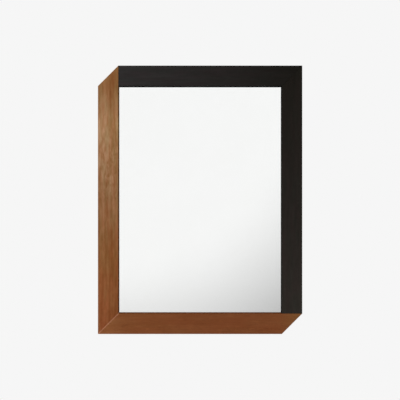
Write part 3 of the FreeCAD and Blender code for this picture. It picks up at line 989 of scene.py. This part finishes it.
@dataclass
class ScrewTree:
    """The nodes that put a cross-recess screw on every point they are given.

    One tube is drawn into the whole turned shape, from its point to its dome, and the recess is cut into it.
    """

    sides: int = 28
    shank_rings: int = 60
    dome_rings: int = 10
    dome_top: float = 0.03
    dome_power: float = 2.4
    point_share: float = 0.06
    punch_taper: float = 0.5
    punch_step: float = 1.05
    crease: float = math.radians(35)
    seed: int = 11

    def __post_init__(self) -> None:
        """Opens the tree and lays out its nodes, from the blank to the finished screws."""
        sizes = ("Head Radius", "Head Height", "Rim Height", "Shank Radius", "Length", "Tip Length",
                 "Thread Pitch", "Thread Depth", "Plain Neck", "Recess Reach", "Recess Slot", "Recess Depth")
        inputs = {"Points": Kind.GEOMETRY, **dict.fromkeys(sizes, Kind.VALUE), "Material": Kind.MATERIAL}
        outputs = {"Screws": Kind.GEOMETRY}
        self.wires, self.given, made = open_tree("cross_recess_screws", "GeometryNodeTree", inputs, outputs)
        self.tree = self.wires.tree
        self.place = self.wires.add("GeometryNodeInputPosition").outputs[0]
        cut = {"Mesh 1": self.turned(), "Mesh 2": self.punch()}
        screw = self.wires.add("GeometryNodeMeshBoolean", cut, operation="DIFFERENCE", solver="EXACT")
        self.wires.feed(made["Screws"], self.dressed(self.scattered(screw.outputs["Mesh"])))

    def identifiers(self) -> dict[str, str]:
        """Returns each input's identifier by its name."""
        items = self.tree.interface.items_tree
        return {item.name: item.identifier for item in items if item.in_out == "INPUT"}

    def reshaped(self, mesh: Socket, target: Source) -> Socket:
        """Returns the mesh with every point at its target."""
        return self.wires.add("GeometryNodeSetPosition", {"Geometry": mesh, "Position": target}).outputs[0]

    def moved(self, mesh: Socket, **change: Source) -> Socket:
        """Returns the mesh moved, turned or scaled as a whole."""
        return self.wires.add("GeometryNodeTransform", {"Geometry": mesh, **change}).outputs[0]

    def straight(self, value: Source, *ends: Source) -> Socket:
        """Returns a value taken straight from one range to another."""
        return self.wires.span(value, *ends, path="LINEAR")

    def threaded(self, height: Socket, point: Socket) -> Socket:
        """Gives the shank its thread and its point.

        Args:
            height: The height above the head's seat.
            point: The height of the screw's point.

        Returns:
            The shank's radius.
        """
        wires, given = self.wires, self.given
        angle = wires.math("ARCTAN2", wires.part(self.place, "Y"), wires.part(self.place, "X"))
        pitches = wires.math("DIVIDE", height, given["Thread Pitch"])
        phase = wires.math("FRACT", wires.math("MULTIPLY_ADD", angle, 0.5 / math.pi, pitches))
        valley = wires.math("ABSOLUTE", wires.math("MULTIPLY_ADD", phase, 2.0, -1.0))
        neck_end = wires.math("MULTIPLY", given["Plain Neck"], -1.0)
        neck_start = wires.math("SUBTRACT", neck_end, given["Thread Pitch"])
        cut_in = wires.fade(height, neck_start, neck_end)
        depth = wires.math("MULTIPLY", wires.math("MULTIPLY", valley, cut_in), given["Thread Depth"])
        tip_end = wires.math("ADD", point, given["Tip Length"])
        sharpen = self.straight(height, point, tip_end, self.point_share, 1.0)
        return wires.math("MULTIPLY", wires.math("SUBTRACT", given["Shank Radius"], depth), sharpen)

    def turned(self) -> Socket:
        """Draws a tube into the screw's outside: threaded shank, flat seat, rim and dome.

        Returns:
            The closed mesh, with the head's seat at height 0.
        """
        wires, given = self.wires, self.given
        rings = self.shank_rings + 2 + self.dome_rings
        seat, seat_edge, rim_top = (ring / rings for ring in range(self.shank_rings, self.shank_rings + 3))
        tube = {"Vertices": self.sides, "Side Segments": rings, "Radius": 1.0, "Depth": 1.0}
        blank = wires.add("GeometryNodeMeshCylinder", tube, fill_type="NGON").outputs["Mesh"]
        along = wires.math("ADD", wires.part(self.place, "Z"), 0.5)
        point = wires.math("MULTIPLY", given["Length"], -1.0)
        inward = self.straight(along, rim_top, 1.0, 1.0, self.dome_top)
        dome = wires.math("SUBTRACT", 1.0, wires.math("POWER", inward, self.dome_power))
        dome_height = wires.math("SUBTRACT", given["Head Height"], given["Rim Height"])
        rim_height = self.straight(along, seat_edge, rim_top, 0.0, given["Rim Height"])
        head_height = wires.math("MULTIPLY_ADD", dome, dome_height, rim_height)
        height = wires.math("ADD", self.straight(along, 0.0, seat, point, 0.0), head_height)

        shank = self.threaded(height, point)
        head = wires.math("MULTIPLY", given["Head Radius"], inward)
        on_head = wires.math("GREATER_THAN", along, (seat + seat_edge) / 2)
        radius = wires.math("MULTIPLY_ADD", on_head, wires.math("SUBTRACT", head, shank), shank)
        flat = wires.vector("MULTIPLY", self.place, wires.join(radius, radius, 0.0))
        return self.reshaped(blank, wires.vector("ADD", flat, wires.join(0.0, 0.0, height)))

    def punch(self) -> Socket:
        """Makes the tapered cross that is cut into the head.

        Returns:
            The closed mesh, in place at the top of the head.
        """
        wires, given = self.wires, self.given
        double_depth = wires.math("MULTIPLY", given["Recess Depth"], 2.0)
        slot = {"Size": wires.join(given["Recess Reach"], given["Recess Slot"], double_depth)}
        wing = wires.add("GeometryNodeMeshCube", slot).outputs["Mesh"]
        cross = wires.add("GeometryNodeMeshBoolean", operation="UNION", solver="EXACT")
        wires.feed(cross.inputs["Mesh 2"], wing)
        quarter_turn = (0.0, 0.0, math.radians(90))
        wires.feed(cross.inputs["Mesh 2"],
                   self.moved(wing, Rotation=quarter_turn, Scale=(1.0, 1.0, self.punch_step)))
        rise = wires.math("DIVIDE", wires.part(self.place, "Z"), given["Recess Depth"])
        taper = wires.math("MULTIPLY_ADD", rise, self.punch_taper, 1.0)
        tapered = wires.vector("MULTIPLY", self.place, wires.join(taper, taper, 1.0))
        punch = self.reshaped(cross.outputs["Mesh"], tapered)
        return self.moved(punch, Translation=wires.join(0.0, 0.0, given["Head Height"]))

    def scattered(self, screw: Socket) -> Socket:
        """Stands a screw on every point, head to the back, each driven to an angle of its own.

        Args:
            screw: The screw's mesh, head up.

        Returns:
            All the screws as one mesh.
        """
        wires = self.wires
        stand = {"Points": self.given["Points"], "Instance": screw, "Rotation": (math.radians(-90), 0.0, 0.0)}
        placed = wires.add("GeometryNodeInstanceOnPoints", stand).outputs[0]
        driven = wires.add("FunctionNodeRandomValue", {"Seed": self.seed, 3: 2 * math.pi}, data_type="FLOAT")
        angles = wires.join(0.0, 0.0, driven.outputs[1])
        spin = wires.add("FunctionNodeEulerToRotation", {0: angles}).outputs[0]
        spun = wires.add("GeometryNodeRotateInstances", {"Instances": placed, "Rotation": spin}).outputs[0]
        return wires.add("GeometryNodeRealizeInstances", {"Geometry": spun}).outputs[0]

    def dressed(self, mesh: Socket) -> Socket:
        """Smooths the screws up to their creases and sets their material.

        Args:
            mesh: The screws.

        Returns:
            The finished mesh.
        """
        wires = self.wires
        bend = wires.add("GeometryNodeInputMeshEdgeAngle").outputs["Unsigned Angle"]
        over = {0: bend, 1: self.crease}
        sharp = wires.add("FunctionNodeCompare", over, operation="GREATER_THAN").outputs[0]
        soft = wires.add("GeometryNodeSetShadeSmooth", {"Geometry": mesh}).outputs[0]
        creases = {"Geometry": soft, "Selection": sharp, "Shade Smooth": False}
        edged = wires.add("GeometryNodeSetShadeSmooth", creases, domain="EDGE").outputs[0]
        finish = {"Geometry": edged, "Material": self.given["Material"]}
        return wires.add("GeometryNodeSetMaterial", finish).outputs[0]


@dataclass
class PanHeadScrews:
    """A set of pan-head screws driven from the back, standing where its CAD screws stand, in metres."""

    name: str
    replaced: str
    head_radius: float = 0.0035
    head_height: float = 0.0022
    rim_height: float = 0.0009
    shank_radius: float = 0.00175
    tip_length: float = 0.004
    thread_pitch: float = 0.0014
    thread_depth: float = 0.00045
    plain_neck: float = 0.0025
    recess_reach: float = 0.0038
    recess_slot: float = 0.00085
    recess_depth: float = 0.0013

    def build(self, nodes: ScrewTree, material: Material) -> SceneObject:
        """Makes the set as one plain mesh in place of its CAD node.

        Args:
            nodes: The nodes that make the screws.
            material: The screws' finish.

        Returns:
            The finished piece, riding on the frame.
        """
        screws = solids_of(self.replaced)
        seat = screws[0][1].y - self.head_height
        seats = [((low.x + high.x) / 2, seat, (low.z + high.z) / 2) for low, high in screws]
        points = bpy.data.meshes.new(self.name + "_seats")
        points.from_pydata(seats, [], [])
        piece = add_object(self.name, points)
        modifier = piece.modifiers.new("screws", "NODES")
        modifier.node_group = nodes.tree
        own_sizes = {size.name: getattr(self, size.name) for size in fields(self) if size.type is float}
        inputs = {**own_sizes, "length": seat - screws[0][0].y, "material": material}
        identifiers = nodes.identifiers()
        for label, value in inputs.items():
            modifier[identifiers[label.replace("_", " ").title()]] = value
        depsgraph = bpy.context.evaluated_depsgraph_get()
        solid = bpy.data.meshes.new_from_object(piece.evaluated_get(depsgraph), depsgraph=depsgraph)
        piece.modifiers.clear()
        piece.data = solid
        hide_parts(self.replaced)
        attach(piece, ROOT_BODY)
        log.info("%s stands for %s with %d faces", self.name, self.replaced, len(solid.polygons))
        return piece


@dataclass
class BackHardware:
    """Turn buttons, hangers, their screws and the wall bumpers."""

    buttons: tuple[str, ...] = tuple(
        "turn_button_" + place for place in (
            "left_lower", "left_upper", "right_lower", "right_upper",
            "top_left", "top_right", "bottom_left", "bottom_right"))
    zinc: SteelFinish = SteelFinish(
        srgb(208, 208, 204), srgb(182, 184, 186), roughness=(0.18, 0.36), patch=0.012,
        marks=(0.00025, 0.00025, 0.006), marks_depth=0.00003)
    nickel: SteelFinish = SteelFinish(
        srgb(216, 210, 200), srgb(200, 194, 184), roughness=(0.12, 0.26), patch=0.018,
        marks=(0.0003, 0.0003, 0.009), marks_depth=0.00003)
    wire: SteelFinish = SteelFinish(
        srgb(216, 210, 200), srgb(190, 184, 174), roughness=(0.12, 0.26), patch=0.01,
        marks=(0.0005, 0.0005, 0.0005), marks_depth=0.000012)
    bright: SteelFinish = SteelFinish(
        srgb(212, 210, 204), srgb(176, 174, 168), roughness=(0.2, 0.38), patch=0.005,
        marks=(0.0004, 0.0004, 0.0004), marks_depth=0.000012)
    rubber: RubberFinish = RubberFinish(srgb(44, 42, 41), srgb(64, 61, 59), pebble=0.0007)

    def build(self) -> list[SceneObject]:
        """Makes the two sets of screws.

        Returns:
            The pieces.
        """
        nodes = ScrewTree()
        steel = self.bright.material("bright_steel")
        return [
            PanHeadScrews("button_screws", "turn_button_screws").build(nodes, steel),
            PanHeadScrews("strap_screws", "hanger_screws").build(nodes, steel),
        ]

    def dress(self) -> None:
        """Gives the buttons, the hangers and the bumpers their finishes."""
        zinc = self.zinc.material("button_zinc")
        for node in self.buttons:
            dress_node(node, zinc)
        nickel = self.nickel.material("strap_nickel")
        wire = self.wire.material("ring_nickel")
        for side in ("left", "right"):
            dress_node("hanger_strap_" + side, nickel)
            dress_node("hanger_ring_" + side, wire)
        dress_node("wall_bumpers", self.rubber.material("moulded_rubber"))


@dataclass(frozen=True)
class Lamp:
    """A square softbox that looks at the mirror's middle, and shows in glass and metal if it is mirrored."""

    name: str
    place: Triple
    size: float
    power: float
    mirrored: bool


@dataclass
class Studio:
    """The camera, the lamps, the pale surroundings and the floor."""

    view_width: float = 0.9786
    distance: float = 2.25
    aim: Pair = (-0.00025, -0.0005)
    front: float = CAD_BOX[0].y
    sensor: float = 36.0
    backdrop: Colour = srgb(246, 246, 246)
    ambient: float = 0.5
    pool_centre: Pair = (-0.1088, 0.1524)
    pool_edge: Pair = (0.215, 0.42)
    pool_levels: Pair = (0.969, 0.31)
    least_ahead: float = 0.05
    far_edge: Pair = (0.45, 1.1)
    far_rise: float = 0.5
    behind_edge: Pair = (0.0, 0.4)
    dusk_edge: Pair = (-0.1, 0.55)
    dusk_depth: float = 0.45
    floor_level: float = -1.5
    floor_radius: float = 3.2
    floor_sides: int = 96
    floor_fade: Pair = (1.1, 3.0)
    floor_colours: tuple[Colour, Colour] = (srgb(244, 244, 243), srgb(240, 240, 239))
    floor_patch: float = 0.8
    floor_roughness: float = 0.7
    lamps: tuple[Lamp, ...] = (
        Lamp("key_softbox", (-1.5, -2.1, 1.7), size=1.6, power=62.0, mirrored=False),
        Lamp("fill_softbox", (2.2, -1.2, 0.3), size=1.4, power=18.0, mirrored=False),
        Lamp("rear_softbox", (1.3, 2.2, 1.5), size=1.6, power=50.0, mirrored=True),
    )

    def camera(self) -> SceneObject:
        """Places the camera square to the mirror at the photograph's framing.

        Returns:
            The camera.
        """
        data = bpy.data.cameras.new("camera")
        data.sensor_width = self.sensor
        data.lens = self.sensor * self.distance / self.view_width
        camera = add_object("camera", data)
        camera.location = (self.aim[0], self.front - self.distance, self.aim[1])
        camera.rotation_euler = (math.radians(90), 0.0, 0.0)
        bpy.context.scene.camera = camera
        return camera

    def light(self) -> None:
        """Places the softboxes."""
        for lamp in self.lamps:
            data = bpy.data.lights.new(lamp.name, "AREA")
            data.size = lamp.size
            data.energy = lamp.power
            box = add_object(lamp.name, data)
            box.location = lamp.place
            box.rotation_euler = (-Vector(lamp.place)).to_track_quat("-Z", "Y").to_euler()
            box.visible_camera = False
            box.visible_glossy = lamp.mirrored
            box.visible_transmission = lamp.mirrored

    def reflected(self, wires: Wiring) -> Socket:
        """Works out the light that the mirror shows: a pool in front of it, and dusk low down behind it.

        Args:
            wires: The world's wiring.

        Returns:
            The level in each direction.
        """
        toward = wires.add("ShaderNodeTexCoord").outputs["Generated"]
        depth = wires.part(toward, "Y")
        ahead = wires.math("MAXIMUM", wires.math("MULTIPLY", depth, -1.0), self.least_ahead)
        slope = wires.vector("DIVIDE", toward, wires.join(ahead, ahead, ahead))
        centre = (self.pool_centre[0], 0.0, self.pool_centre[1])
        off_centre = wires.vector("MULTIPLY", wires.vector("SUBTRACT", slope, centre), (1.0, 0.0, 1.0))
        radius = wires.measure("LENGTH", off_centre)
        pool = wires.span(radius, *self.pool_edge, *self.pool_levels)
        beyond = wires.span(radius, *self.far_edge, 0.0, self.far_rise)
        dusk = wires.span(wires.part(toward, "Z"), *self.dusk_edge, self.dusk_depth, 0.0)
        behind = wires.math("MULTIPLY", wires.span(depth, *self.behind_edge), dusk)
        return wires.math("SUBTRACT", wires.math("ADD", pool, beyond), behind)

    def surround(self) -> None:
        """Makes the pale world: even to the eye, a pool of light in reflections, soft on the object."""
        world = bpy.data.worlds.new("studio")
        world.use_nodes = True
        world.node_tree.nodes.clear()
        wires = Wiring(world.node_tree)

        def background(colour: Source, strength: float = 1.0) -> Socket:
            """Returns a background of one colour and strength."""
            return wires.add("ShaderNodeBackground", {"Color": colour, "Strength": strength}).outputs[0]

        level = self.reflected(wires)
        mirrored = background(wires.join(level, level, level))
        soft = background(UNCHANGED, self.ambient)
        path = wires.add("ShaderNodeLightPath").outputs
        bounced = wires.math("MAXIMUM", path["Is Glossy Ray"], path["Is Transmission Ray"])
        around = wires.add("ShaderNodeMixShader", {0: bounced, 1: soft, 2: mirrored}).outputs[0]
        seen = {0: path["Is Camera Ray"], 1: around, 2: background(self.backdrop)}
        final = wires.add("ShaderNodeMixShader", seen).outputs[0]
        wires.add("ShaderNodeOutputWorld", {"Surface": final})
        bpy.context.scene.world = world

    def floor(self) -> SceneObject:
        """Lays a round pale floor that fades out into the background.

        Returns:
            The floor.
        """
        mesh = bpy.data.meshes.new("floor")
        shape = bmesh.new()
        bmesh.ops.create_circle(shape, cap_ends=True, segments=self.floor_sides, radius=self.floor_radius)
        bmesh.ops.translate(shape, vec=(0.0, 0.0, self.floor_level), verts=shape.verts)
        shape.to_mesh(mesh)
        shape.free()
        paint = Paint("pale_floor")
        reach = paint.measure("LENGTH", paint.vector("MULTIPLY", paint.place, (1.0, 1.0, 0.0)))
        from_above = paint.math("SUBTRACT", 1.0, paint.add("ShaderNodeNewGeometry").outputs["Backfacing"])
        mesh.materials.append(paint.surface(
            Base_Color=paint.colours("MIX", paint.mottled(self.floor_patch), *self.floor_colours),
            Roughness=self.floor_roughness,
            Alpha=paint.math("MULTIPLY", paint.fade(reach, *self.floor_fade), from_above)))
        floor = add_object("floor", mesh)
        return floor

    def build(self) -> None:
        """Sets up everything round the object."""
        self.camera()
        self.light()
        self.surround()
        self.floor()
        bpy.context.scene.view_settings.view_transform = "Standard"
        log.info("studio ready with %d softboxes", len(self.lamps))


def main() -> None:
    """Dresses the sub-assemblies in order, builds the screws and sets up the studio."""
    logging.basicConfig(level=logging.INFO, format="%(name)s: %(message)s")
    TwoToneFrame().dress()
    glazing = Glazing()
    glazing.build()
    glazing.dress()
    hardware = BackHardware()
    hardware.build()
    hardware.dress()
    Studio().build()


if __name__ == "__main__":
    main()
